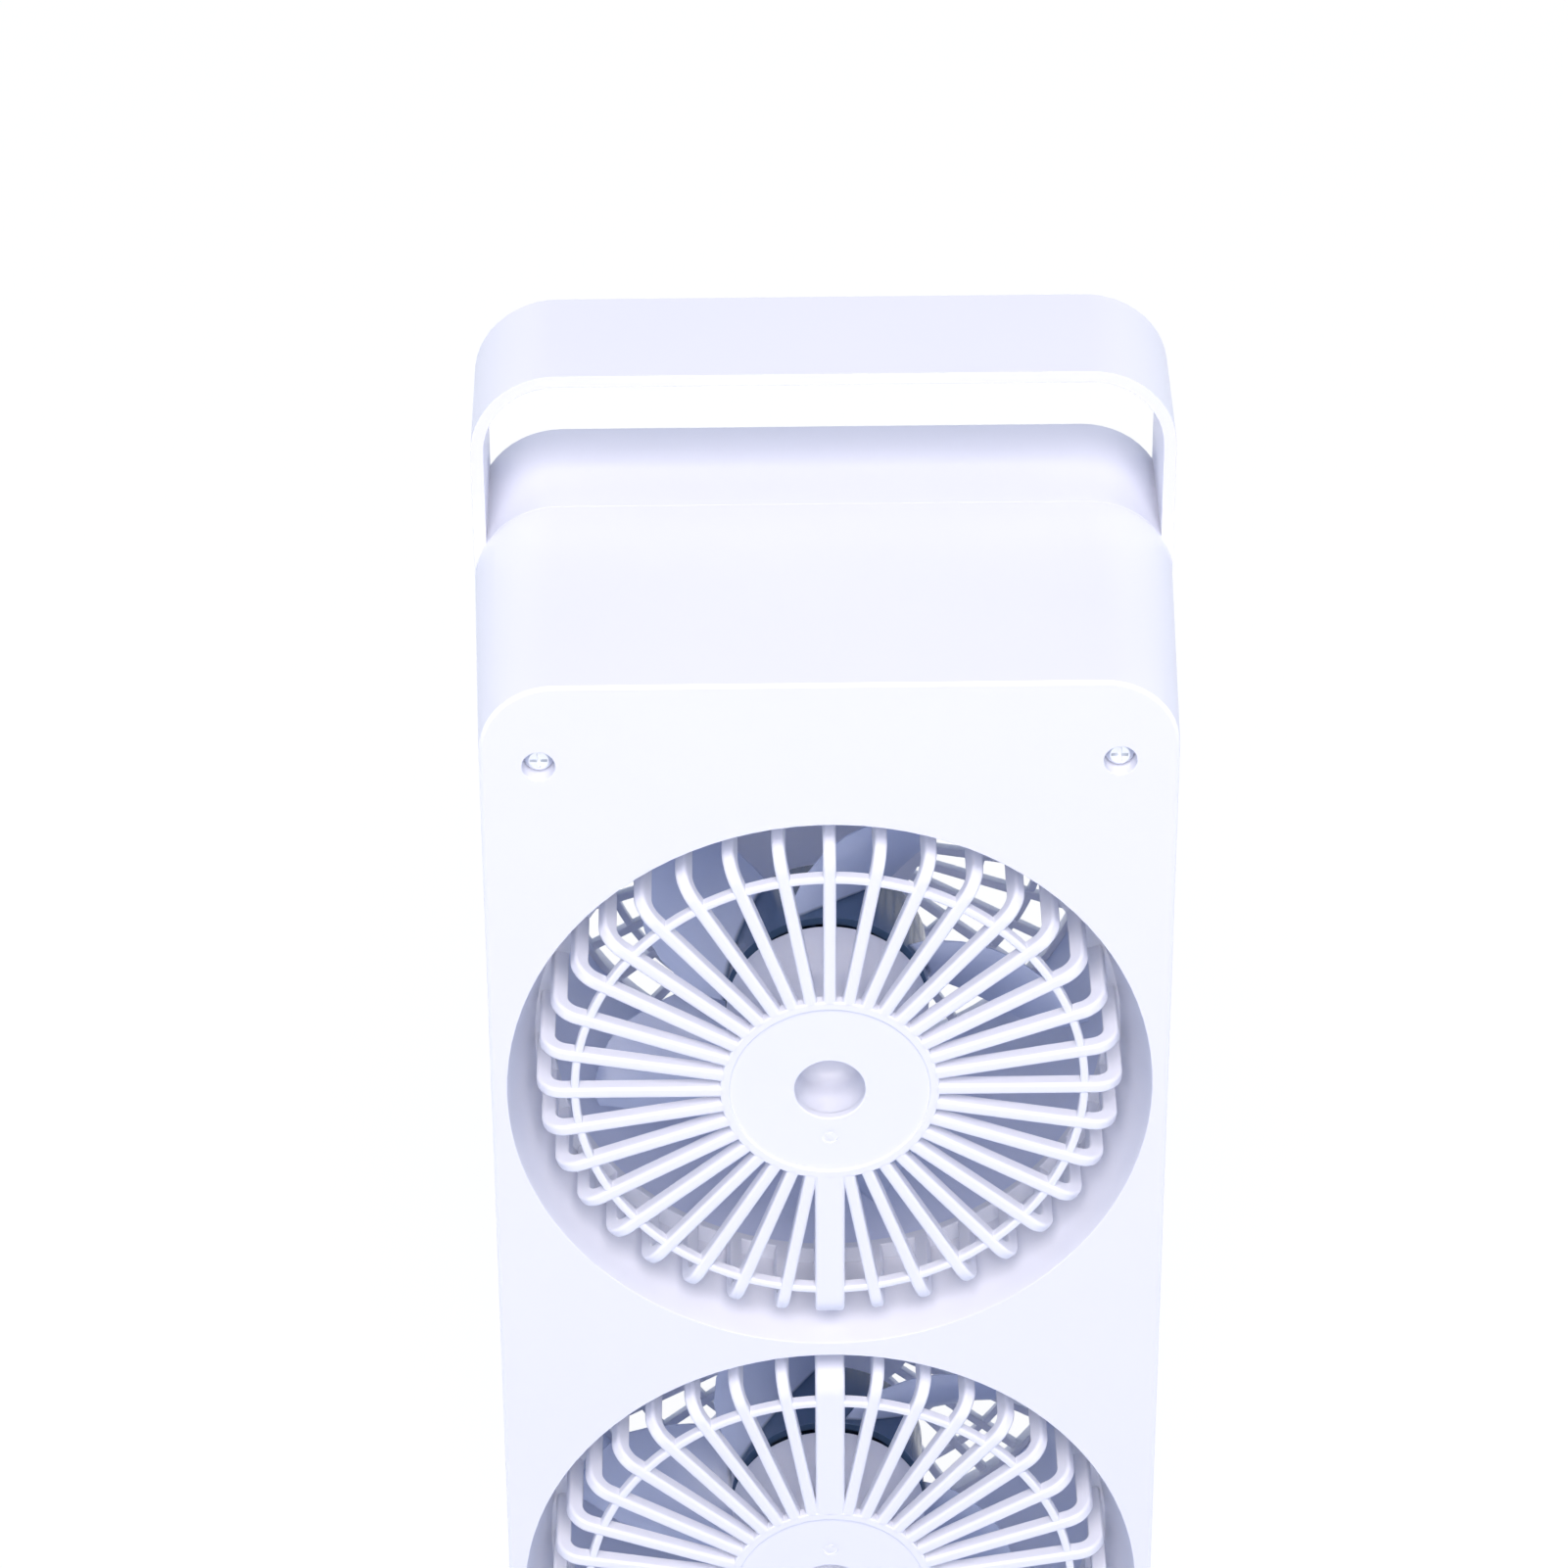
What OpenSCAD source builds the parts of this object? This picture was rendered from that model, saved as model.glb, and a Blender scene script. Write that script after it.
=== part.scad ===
// Dual-head desk fan: a tall moulded box with two fans one above the other and a strap handle.
// The intake face, with its grilles and case screws, looks along -Y. The air leaves along +Y.
// Depths are counted from the plane of the intake face, towards the outlet.

/* [Body] */
// Width of the intake face
face_w = 130; // [126:1:150]
// From the top edge of the intake face to the upper opening
top_margin = 31.3; // [29:0.1:45]
// From the lower opening to the bottom edge of the intake face
bottom_margin = 31.3; // [29:0.1:45]
// Depth of the rear housing, from the intake face to the joint
rear_depth = 60; // [56:1:75]
// Depth of the front housing, and of the handle strap
front_depth = 29.6; // [26:0.1:40]
// Lean of the rear housing's sides
side_draft = 2.2; // [0.5:0.1:3]
// Corner radius at the intake face
corner_r = 14.4; // [13:0.1:18]
// Wall thickness of both housings
wall = 2.4; // [1.8:0.1:2.8]
// Small bevel round the two faces
edge_break = 0.6; // [0.3:0.1:1]

/* [Handle] */
// Clear height under the strap
grip_h = 26.3; // [22:0.1:40]
// Thickness of the strap
strap_t = 2.4; // [2:0.1:4]

/* [Openings] */
// Distance between the two fans
head_pitch = 127; // [126:0.5:140]
// Width of the intake opening at the face
rim_d = 124; // [122:0.5:124.5]
// Width of the intake opening at the bottom of its bell
throat_d = 114; // [113.6:0.1:116]
// Depth of the bell
bell_depth = 19.2; // [16:0.1:22]

/* [Grilles] */
// Number of ribs on each grille
rib_count = 36; // [24:2:40]
// Width of a rib
rib_w = 2.5; // [1.8:0.1:3]
// Thickness of a rib, along its spoke and its leg
rib_t = 3; // [2:0.1:3.6]
// Outer radius of the bend at a rib's shoulder
shoulder_r = 5.2; // [5:0.1:7]
// Gap between the ribs' legs and the bell's throat
throat_gap = 0.5; // [0.3:0.1:0.8]
// Mean width of the ring that ties the ribs
tie_ring_d = 98; // [90:0.5:100]
// Width of a tie ring's bar
tie_ring_w = 1.6; // [1.2:0.1:2.4]
// Width of the hub disc
hub_d = 42.2; // [41:0.1:46]
// Width of the raised rim round the hub disc
hub_rim_w = 1.8; // [1.2:0.1:2.5]
// Width of the round pocket in the hub
pocket_d = 13.6; // [10:0.1:14]
// Depth of the round pocket in the hub
pocket_depth = 13; // [10:0.1:13]
// Width of the rib that hides the motor leads
lead_rib_w = 5.9; // [5:0.1:7]

/* [Motors] */
// Width of the motor can
motor_d = 24.4; // [22:0.1:26]
// Length of the motor can with its end cap
motor_l = 12.3; // [11.5:0.1:13]
// Width of the motor shaft
shaft_d = 2; // [1.5:0.1:3]
// Outer width of the cup round the motor
cup_d = 39.6; // [37:0.1:40.2]

/* [Impellers] */
// Width of the impeller over its blade tips
impeller_d = 104; // [96:0.5:106]
// Width of the impeller's hub
impeller_hub_d = 40; // [36:0.1:42]
// Length of the impeller's hub
impeller_hub_l = 18.2; // [15:0.1:22]
// Number of blades
blade_count = 5; // [3:1:7]
// Thickness of a blade at its root
blade_t = 1.8; // [1.4:0.1:2.4]

/* [Controls] */
// Width of a push button
button_d = 12; // [9:0.5:14]
// How far a button stands out of the outlet face
button_proud = 1.2; // [1:0.1:2]
// Travel of a button
button_travel = 0.8; // [0.5:0.1:0.9]
// Distance from the middle of the front to each button
button_x = 22; // [16:0.5:26]
// Height of the buttons above the base of the body
button_rise = 18; // [14:0.5:20]

/* [Feet and screws] */
// Height of a foot below the body
foot_h = 2; // [1.5:0.1:4]
// Width of a foot
foot_d = 10; // [8:0.5:12]
// Width of a case screw's recess
recess_d = 6.2; // [6:0.1:7.2]
// Depth of a case screw's recess
recess_depth = 4; // [3:0.1:5]
// Distance of the case screws from the sides of the intake face
screw_inset_x = 11; // [10:0.1:12]
// Distance of the case screws from its top and bottom edges
screw_inset_z = 17.5; // [14:0.1:18]

/* [Hidden] */
$fn = 96;

// Clearances
seat_gap = 0.2;
slide_gap = 0.3;
shaft_gap = 0.05;
cut = 1;

// Outline of the body
lean = tan(side_draft);
growth = rear_depth * lean;
face_h = top_margin + rim_d + head_pitch + bottom_margin;
body_depth = rear_depth + front_depth;
face_y = -(body_depth + button_proud) / 2;
corner_x = face_w / 2 - corner_r;
joint_r = corner_r + growth;
joint_half_w = corner_x + joint_r;
body_z = foot_h;
face_z = body_z + growth;
low_corner_z = face_z + corner_r;
high_corner_z = face_z + face_h - corner_r;
body_top = high_corner_z + joint_r;
lower_z = face_z + bottom_margin + rim_d / 2;
upper_z = lower_z + head_pitch;
plate_depth = body_depth - wall;

// Handle
strap_top = body_top + grip_h + strap_t;

// Grilles
throat_r = throat_d / 2;
rib_r = throat_r - throat_gap;
bell_t = 2;
ring_t = 2;
ring_back = bell_depth + ring_t;
ring_r = throat_r + bell_t + 1;
hub_t = 2.4;
hub_sink = 0.5;
gate_mark_d = 3.2;
gate_mark_t = 0.3;
gate_mark_r = 11.2;
tie_ring_sink = 0.3;
lead_rib_t = 4.4;
lead_channel_w = 3.1;
lead_channel_floor = 1.5;

// Motor in its cup
cup_t = 1.8;
socket_t = 1.5;
pocket_t = 1.5;
motor_back = pocket_depth + pocket_t + seat_gap;
can_front = motor_back + motor_l;
cup_end = can_front + seat_gap;
cup_web_t = 1.6;
cap_t = 2;
can_t = 0.8;
bush_d = 6.4;
bush_l = 2.2;
shaft_seat_l = 1.2;
rotor_gap = 2.6;
rotor_slot_w = 1.4;
terminal_w = 2;
terminal_t = 0.5;
terminal_l = 2.6;
terminal_x = 3;
terminal_r = motor_d / 2 - 2.6;

// Impeller
running_gap = 2.6;
fan_hub_back = cup_end + running_gap;
fan_hub_front = fan_hub_back + impeller_hub_l;
fan_hub_t = 1.6;
fan_boss_r = 3.6;
fan_web_t = 1.2;
blade_back = fan_hub_back + 1.2;
blade_root_r = impeller_hub_d / 2 - fan_hub_t / 2;
blade_w = 23;
blade_widest = 0.33;
blade_root_fall = fan_hub_front - blade_back - 0.6;
blade_tip_fall = 2;
blade_tip_lean = 10;
blade_rows = 10;
blade_cols = 8;
upper_fan_turn = 18.75;
lower_fan_turn = 48.75;

// Shroud and outlet grille
shroud_r = impeller_d / 2 + 3.5;
shroud_t = 1.8;
lead_notch_w = 5.2;
lead_notch_l = 4;
outlet_flange_t = 1.6;
outlet_r = shroud_r + shroud_t + seat_gap;
outlet_flange_r = outlet_r + 2;
shroud_front = plate_depth - outlet_flange_t;
outlet_ring_t = 3;
outlet_bar_w = 1.6;
outlet_spoke_w = 1.8;
outlet_grille_t = 2.3;
outlet_sink = 0.3;

// Controls
board_depth = plate_depth - 7.2;
board_t = 1.6;
board_w = 92;
board_h = 22;
board_z = body_z + button_rise;
board_screw_x = board_w / 2 - 5;
board_screw_d = 1.7;
board_screw_l = 6.6;
board_screw_head_d = 4;
board_screw_head_h = 1.4;
board_post_r = 3;
button_flange_t = 1;
button_flange_w = 1.5;
button_edge = 0.5;
button_stem_d = 3;
switch_w = 6;
switch_h = 3.4;
plunger_d = 3.4;
plunger_h = 1;
lens_d = 3;
lens_flange_w = 0.8;
lens_flange_t = 1;

// Power inlet, low on the intake face
inlet_rise = 13;
inlet_z = face_z + inlet_rise;
socket_w = 9;
socket_h = 3.3;
socket_l = 9.8;
socket_wall = 0.35;
socket_mouth_l = 6.4;
socket_sink = 0.6;
tongue_w = 6.7;
tongue_h = 0.7;
tongue_l = 4.6;
power_board_w = 22;
power_board_l = 20;
power_board_t = 1.2;
shelf_t = 2;
shelf_sink = 0.2;

// Case screws: the heads rest on the floors of their recesses, the shanks bite into the posts
screw_x = face_w / 2 - screw_inset_x;
screw_low_z = face_z + screw_inset_z;
screw_high_z = face_z + face_h - screw_inset_z;
screw_d = 2.5;
screw_l = 16;
screw_head_d = 5.4;
screw_head_h = 2;
screw_hole_d = 3.4;
screw_floor_t = 2.4;
boss_t = 1.6;
post_r = 4.2;
post_back = recess_depth + screw_floor_t;

// Feet
foot_x = corner_x - 4;
foot_edge = 0.6;
foot_seat = 0.8;
foot_pad_t = 1.4;
rear_foot_depth = 13;
front_foot_depth = rear_depth + front_depth / 2;

// Leads
lead_d = 1.1;
lead_pitch = 1.5;
lead_sides = 6;
lead_steps = 3;
lead_depth = ring_back + 5;
lead_r = shroud_r + shroud_t + 3;
board_back = board_depth - board_t;
supply_x = 5;
solder_l = 5;

// Turns a piece so that its own z runs inwards from the intake face, with its y pointing down
module on_face(x, z) {
    translate([x, face_y, z]) rotate([-90, 0, 0]) children();
}

module at_case_screws() {
    for (x = [-screw_x, screw_x], z = [screw_low_z, screw_high_z]) on_face(x, z) children();
}

// Tube along z from one depth to another
module tube(outer_r, inner_r, from, to) {
    translate([0, 0, from]) difference() {
        cylinder(r = outer_r, h = to - from);
        translate([0, 0, -cut]) cylinder(r = inner_r, h = to - from + 2 * cut);
    }
}

// Rounded block whose corners share their centres at every depth. The profile lists [depth, radius]
// of the corners, from the intake side to the outlet side.
module drafted_block(profile) {
    n = len(profile);
    back = [for (i = [n - 1:-1:0]) profile[i]];
    for (x = [-corner_x, corner_x], z = [low_corner_z, high_corner_z]) on_face(x, z)
        rotate_extrude() polygon([
            [0, profile[0][0]],
            for (p = profile) [p[1], p[0]],
            [0, profile[n - 1][0]]
        ]);
    translate([0, 0, low_corner_z]) linear_extrude(high_corner_z - low_corner_z) polygon([
        for (p = profile) [-corner_x - p[1], face_y + p[0]],
        for (p = back) [corner_x + p[1], face_y + p[0]]
    ]);
    translate([-corner_x, 0, 0]) rotate([90, 0, 90]) linear_extrude(2 * corner_x) polygon([
        for (p = profile) [face_y + p[0], low_corner_z - p[1]],
        for (p = back) [face_y + p[0], high_corner_z + p[1]]
    ]);
}

// Housings
module rear_shell() {
    difference() {
        drafted_block([
            [0, corner_r - edge_break],
            [edge_break, corner_r + edge_break * lean],
            [rear_depth, joint_r]
        ]);
        drafted_block([
            [wall, corner_r - wall + wall * lean],
            [rear_depth + cut, joint_r - wall + cut * lean]
        ]);
    }
}

module rear_foot_pads() {
    pad_r = foot_d / 2 + foot_pad_t;
    for (x = [-foot_x, foot_x])
        translate([x, face_y + rear_foot_depth, body_z]) cylinder(r = pad_r, h = growth + wall);
}

module inlet_shelf() {
    shelf_top = inlet_z - socket_h / 2 - power_board_t;
    for (x = [shelf_t / 2 - power_board_w / 2, power_board_w / 2 - 3 * shelf_t / 2])
        translate([x, face_y + wall - shelf_sink, face_z])
            cube([shelf_t, power_board_l, shelf_top - face_z]);
}

module rear_housing() {
    boss_r = recess_d / 2 + boss_t;
    color("white") difference() {
        union() {
            rear_shell();
            for (z = [lower_z, upper_z]) on_face(0, z)
                cylinder(h = bell_depth, r1 = rim_d / 2 + bell_t, r2 = throat_r + bell_t);
            at_case_screws() cylinder(r = boss_r, h = post_back);
            rear_foot_pads();
            inlet_shelf();
        }
        for (z = [lower_z, upper_z]) on_face(0, z) translate([0, 0, -cut]) {
            slope = (rim_d / 2 - throat_r) / bell_depth;
            cylinder(
                h = bell_depth + 2 * cut, r1 = rim_d / 2 + cut * slope, r2 = throat_r - cut * slope
            );
        }
        at_case_screws() {
            translate([0, 0, -cut]) cylinder(d = recess_d, h = recess_depth + cut);
            cylinder(d = screw_hole_d, h = post_back + cut);
        }
        on_face(0, inlet_z) translate([0, 0, -cut]) linear_extrude(wall + 2 * cut)
            stadium(socket_w + 2 * seat_gap, socket_h + 2 * seat_gap);
        for (x = [-foot_x, foot_x]) translate([x, face_y + rear_foot_depth, body_z - cut])
            cylinder(d = foot_d + 2 * seat_gap, h = cut + foot_seat);
    }
}

// Outline of the strap's arch, drawn across the body, inset from its outer face
module arch(inset) {
    half_w = joint_half_w - inset;
    top = strap_top - inset;
    r = joint_r - inset;
    spring_z = body_top - joint_r;
    translate([-half_w, spring_z]) square([2 * half_w, top - r - spring_z]);
    translate([r - half_w, spring_z]) square([2 * (half_w - r), top - spring_z]);
    for (x = [-1, 1]) translate([x * (half_w - r), top - r]) circle(r = r);
}

module handle_strap() {
    difference() {
        translate([0, face_y + body_depth, 0]) rotate([90, 0, 0])
            linear_extrude(front_depth) arch(0);
        translate([0, face_y + body_depth + cut, 0]) rotate([90, 0, 0])
            linear_extrude(front_depth + 2 * cut) arch(strap_t);
    }
}

module front_shell() {
    lip_t = 1.1;
    lip_l = 2;
    lip_r = joint_r - wall - slide_gap;
    lip_back = rear_depth - lip_l;
    lip_front = rear_depth + lip_l;
    difference() {
        drafted_block([
            [rear_depth, joint_r],
            [body_depth - edge_break, joint_r],
            [body_depth, joint_r - edge_break]
        ]);
        drafted_block([[rear_depth - cut, joint_r - wall], [plate_depth, joint_r - wall]]);
    }
    difference() {
        drafted_block([
            [lip_back, lip_r],
            [rear_depth + slide_gap, lip_r],
            [rear_depth + slide_gap, joint_r - wall / 2],
            [lip_front, joint_r - wall / 2]
        ]);
        drafted_block([[lip_back - cut, lip_r - lip_t], [lip_front + cut, lip_r - lip_t]]);
    }
}

module front_housing() {
    board_post_h = plate_depth - board_depth;
    button_hole_d = button_d + 2 * slide_gap;
    color("white") difference() {
        union() {
            front_shell();
            handle_strap();
            at_case_screws() translate([0, 0, post_back])
                cylinder(r = post_r, h = plate_depth + cut - post_back);
            for (x = [-board_screw_x, board_screw_x]) on_face(x, board_z)
                translate([0, 0, board_depth]) cylinder(r = board_post_r, h = board_post_h + cut);
        }
        for (z = [lower_z, upper_z]) on_face(0, z)
            translate([0, 0, shroud_front - cut]) cylinder(r = outlet_r, h = front_depth);
        at_case_screws() translate([0, 0, recess_depth]) cylinder(d = screw_d, h = screw_l + cut);
        for (x = [-board_screw_x, board_screw_x]) on_face(x, board_z)
            translate([0, 0, board_back]) cylinder(d = board_screw_d, h = board_screw_l + slide_gap);
        for (x = [-button_x, button_x]) on_face(x, board_z)
            translate([0, 0, plate_depth - cut]) cylinder(d = button_hole_d, h = wall + 2 * cut);
        on_face(0, board_z) translate([0, 0, plate_depth - cut])
            cylinder(d = lens_d + 2 * shaft_gap, h = wall + 2 * cut);
        for (x = [-foot_x, foot_x]) translate([x, face_y + front_foot_depth, body_z - cut])
            cylinder(d = foot_d + 2 * seat_gap, h = cut + foot_seat);
    }
}

// Pan head, cross slot and plain shank; its head rests at depth 0 and its shank runs on from there
module pan_screw(head_d, head_h, shank_d, shank_l) {
    difference() {
        union() {
            translate([0, 0, -head_h]) cylinder(d1 = head_d * 0.7, d2 = head_d, h = head_h * 0.5);
            translate([0, 0, -head_h * 0.5]) cylinder(d = head_d, h = head_h * 0.5);
            cylinder(d = shank_d, h = shank_l);
        }
        for (a = [0, 90]) rotate(a) translate([-head_d * 0.3, -head_d * 0.06, -head_h - cut])
            cube([head_d * 0.6, head_d * 0.12, cut + head_h * 0.6]);
    }
}

module case_screws() {
    color("silver") at_case_screws() translate([0, 0, recess_depth])
        pan_screw(screw_head_d, screw_head_h, screw_d, screw_l);
}

// Intake grille with the motor cup
module rib_profile(t, from_r = hub_d / 2 - hub_rim_w, leg_end = ring_back) {
    bend_x = rib_r - shoulder_r;
    translate([from_r, 0]) square([bend_x - from_r, t]);
    translate([rib_r - t, shoulder_r]) square([t, leg_end - shoulder_r]);
    intersection() {
        translate([bend_x, shoulder_r]) difference() {
            circle(r = shoulder_r);
            circle(r = shoulder_r - t);
        }
        translate([bend_x, 0]) square(shoulder_r);
    }
}

module rib(w, t) {
    rotate([90, 0, 0]) linear_extrude(w, center = true) rib_profile(t);
}

// Open channel under the wide rib, from inside the motor cup to behind the base ring
module lead_channel() {
    from_r = cup_d / 2 - cup_t - cut;
    rotate([90, 0, 0]) linear_extrude(lead_channel_w, center = true) difference() {
        rib_profile(lead_rib_t + slide_gap, from_r, ring_back + cut);
        rib_profile(lead_channel_floor, from_r - cut, ring_back + 2 * cut);
    }
}

module motor_cup() {
    socket_r = motor_d / 2 + seat_gap / 2;
    web_l = cup_d / 2 - cup_t - socket_r;
    tube(cup_d / 2, cup_d / 2 - cup_t, 0, cup_end);
    tube(socket_r + socket_t, socket_r, motor_back, can_front - slide_gap);
    tube(pocket_d / 2 + pocket_t, pocket_d / 2, hub_sink, pocket_depth + pocket_t);
    translate([0, 0, pocket_depth]) cylinder(r = pocket_d / 2 + pocket_t, h = pocket_t);
    for (a = [0:60:300]) rotate(a) translate([socket_r + socket_t / 2, -cup_web_t / 2, hub_t - cut])
        cube([web_l, cup_web_t, can_front - 2 * socket_t - hub_t]);
}

module rear_grille() {
    ribs = [for (i = [1:rib_count - 1]) i * 360 / rib_count];
    color("white") difference() {
        union() {
            tube(hub_d / 2, hub_d / 2 - hub_rim_w, 0, hub_t);
            tube(hub_d / 2 - hub_rim_w / 2, pocket_d / 2, hub_sink, hub_t);
            for (a = ribs) rotate(90 + a) rib(rib_w, rib_t);
            rotate(90) rib(lead_rib_w, lead_rib_t);
            tube(
                (tie_ring_d + tie_ring_w) / 2, (tie_ring_d - tie_ring_w) / 2,
                tie_ring_sink, rib_t - tie_ring_sink
            );
            tube(ring_r, rib_r - rib_t, bell_depth, ring_back);
            motor_cup();
        }
        rotate(90) lead_channel();
        rotate(90) translate([gate_mark_r, 0, hub_sink - cut])
            tube(gate_mark_d / 2, gate_mark_d / 4, 0, cut + gate_mark_t);
    }
}

// Outlet grille
module front_grille() {
    outer_r = outlet_r - seat_gap;
    front = body_depth - outlet_sink;
    back = front - outlet_grille_t;
    reach = outer_r - hub_d / 2;
    color("white") {
        tube(outer_r, outer_r - outlet_ring_t, shroud_front, front);
        tube(outlet_flange_r, outer_r - outlet_ring_t / 2, shroud_front, plate_depth);
        translate([0, 0, back]) cylinder(d = hub_d, h = outlet_grille_t);
        for (i = [1, 2]) {
            r = hub_d / 2 + i * reach / 3;
            tube(
                r + outlet_bar_w / 2, r - outlet_bar_w / 2, back + outlet_sink, front - outlet_sink
            );
        }
        for (i = [0:rib_count - 1]) rotate(i * 360 / rib_count)
            translate([hub_d / 2 - outlet_ring_t / 2, -outlet_spoke_w / 2, back])
                cube([reach, outlet_spoke_w, outlet_grille_t]);
    }
}

module fan_shroud() {
    color("white") difference() {
        union() {
            tube(shroud_r + shroud_t, shroud_r, ring_back, shroud_front);
            tube(outlet_flange_r, shroud_r, shroud_front - outlet_flange_t, shroud_front);
        }
        translate([-lead_notch_w / 2, shroud_r - lead_notch_w, ring_back - cut])
            cube([lead_notch_w, 2 * lead_notch_w, lead_notch_l + cut]);
    }
}

// Motor
module motor_can() {
    color("silver") difference() {
        translate([0, 0, motor_back + cap_t]) cylinder(d = motor_d, h = motor_l - cap_t);
        translate([0, 0, motor_back + cap_t - cut])
            cylinder(r = motor_d / 2 - can_t, h = motor_l - cap_t - can_t + cut);
        translate([0, 0, can_front - 2 * can_t]) cylinder(d = bush_d, h = 4 * can_t);
    }
}

module motor_end_cap() {
    color("ivory") difference() {
        union() {
            translate([0, 0, motor_back]) cylinder(d = motor_d, h = cap_t);
            for (x = [-terminal_x, terminal_x])
                translate([x - terminal_w / 2, terminal_r, motor_back - terminal_l])
                    cube([terminal_w, terminal_t, terminal_l + cap_t / 2]);
        }
        translate([0, 0, motor_back + cap_t - shaft_seat_l])
            cylinder(r = shaft_d / 2 + shaft_gap, h = shaft_seat_l + cut);
    }
}

module motor_bush() {
    from = can_front - can_t;
    color("goldenrod") tube(bush_d / 2, shaft_d / 2 + shaft_gap, from, from + bush_l);
}

module motor_rotor() {
    rotor_r = motor_d / 2 - can_t - rotor_gap;
    rotor_l = motor_l - cap_t - 2 * rotor_gap;
    color("dimgray") difference() {
        translate([0, 0, motor_back + cap_t + rotor_gap - can_t]) cylinder(r = rotor_r, h = rotor_l);
        translate([0, 0, motor_back]) cylinder(d = shaft_d, h = motor_l);
        for (a = [0, 120, 240]) rotate(a)
            translate([rotor_r / 2, -rotor_slot_w / 2, motor_back])
                cube([rotor_r, rotor_slot_w, motor_l]);
    }
}

module motor_shaft() {
    from = motor_back + cap_t - shaft_seat_l + shaft_gap;
    color("silver") translate([0, 0, from])
        cylinder(d = shaft_d, h = fan_hub_front - fan_hub_t - from);
}

// Impeller blade: its trailing edge, nearer the outlet, runs straight out from the hub, and its
// leading edge curves in to meet it at the tip. s runs from root to tip, u from trailing to leading.
function along(s) = blade_root_r + s * (impeller_d / 2 - blade_root_r);
function across(s) = blade_w * (1 - pow(abs(s - blade_widest) / 0.7, 2.4));
function fall(s) = blade_root_fall * (1 - s * s) + blade_tip_fall * s * s;
function lean(s) = blade_tip_lean * pow(max(s - 0.65, 0) / 0.35, 2);
function blade_point(s, u, side) =
    let (
        r = along(s),
        turn = -lean(s) - u * across(s) / r * 180 / PI,
        t = blade_t * (1 - 0.45 * s) * (1 - 0.7 * pow(2 * u - 1, 2)),
        z = blade_back + fall(s) * pow(1 - u, 1.5) + side * t / 2
    )
    [r * cos(turn), r * sin(turn), z];

module blade() {
    rows = blade_rows;
    cols = blade_cols;
    points = [
        for (side = [1, -1], i = [0:rows], j = [0:cols])
            blade_point(sin(90 * i / rows), 1 - j / cols, side)
    ];
    n = (rows + 1) * (cols + 1);
    upper = [
        for (i = [0:rows - 1], j = [0:cols - 1])
            let (a = i * (cols + 1) + j, b = a + 1, c = a + cols + 2, d = a + cols + 1)
            each [[a, b, c], [a, c, d]]
    ];
    lower = [for (f = upper) [f[2] + n, f[1] + n, f[0] + n]];
    edge = concat(
        [for (j = [0:cols - 1]) j],
        [for (i = [0:rows - 1]) i * (cols + 1) + cols],
        [for (j = [cols:-1:1]) rows * (cols + 1) + j],
        [for (i = [rows:-1:1]) i * (cols + 1)]
    );
    rim = [
        for (k = [0:len(edge) - 1])
            let (a = edge[k], b = edge[(k + 1) % len(edge)])
            each [[a, a + n, b + n], [a, b + n, b]]
    ];
    polyhedron(points, concat(upper, lower, rim));
}

module impeller() {
    inner_r = impeller_hub_d / 2 - fan_hub_t;
    web_h = impeller_hub_l * 2 / 3;
    color("lightsteelblue") difference() {
        union() {
            tube(impeller_hub_d / 2, inner_r, fan_hub_back, fan_hub_front);
            translate([0, 0, fan_hub_front - fan_hub_t])
                cylinder(r = inner_r + fan_hub_t / 2, h = fan_hub_t);
            translate([0, 0, fan_hub_back + fan_web_t])
                cylinder(r = fan_boss_r, h = impeller_hub_l - fan_web_t - fan_hub_t / 2);
            for (a = [0:60:300]) rotate(a)
                translate([fan_boss_r - fan_web_t / 2, -fan_web_t / 2, fan_hub_front - web_h])
                    cube([inner_r - fan_boss_r + fan_web_t, fan_web_t, web_h - fan_hub_t / 2]);
            for (i = [0:blade_count - 1]) rotate(i * 360 / blade_count) blade();
        }
        translate([0, 0, fan_hub_back]) cylinder(d = shaft_d, h = impeller_hub_l - fan_hub_t);
    }
}

// Controls
module control_board() {
    color("seagreen") on_face(0, board_z) difference() {
        translate([-board_w / 2, -board_h / 2, board_depth - board_t]) cube([board_w, board_h, board_t]);
        for (x = [-board_screw_x, board_screw_x])
            translate([x, 0, board_depth - board_t - cut]) cylinder(d = 2.4, h = board_t + 2 * cut);
    }
}

module board_screws() {
    color("silver") for (x = [-board_screw_x, board_screw_x]) on_face(x, board_z)
        translate([0, 0, board_back])
            pan_screw(board_screw_head_d, board_screw_head_h, board_screw_d, board_screw_l);
}

module push_switches() {
    color("dimgray") for (x = [-button_x, button_x]) on_face(x, board_z) {
        translate([-switch_w / 2, -switch_w / 2, board_depth]) cube([switch_w, switch_w, switch_h]);
        translate([0, 0, board_depth + switch_h]) cylinder(d = plunger_d, h = plunger_h);
    }
}

module push_button() {
    stem_back = board_depth + switch_h + plunger_h + button_travel + slide_gap;
    flange_front = plate_depth - slide_gap;
    edge_back = body_depth + button_proud - button_edge;
    color("gainsboro") {
        translate([0, 0, flange_front - button_flange_t]) {
            cylinder(d = button_d, h = edge_back - flange_front + button_flange_t);
            cylinder(d = button_d + 2 * button_flange_w, h = button_flange_t);
        }
        translate([0, 0, edge_back])
            cylinder(d1 = button_d, d2 = button_d - 2 * button_edge, h = button_edge);
        translate([0, 0, stem_back]) cylinder(d = button_stem_d, h = flange_front - stem_back);
    }
}

module indicator_lens() {
    color("lightcyan") on_face(0, board_z) translate([0, 0, plate_depth - lens_flange_t]) {
        cylinder(d = lens_d + 2 * lens_flange_w, h = lens_flange_t);
        cylinder(d = lens_d, h = wall + lens_flange_t);
    }
}

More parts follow.
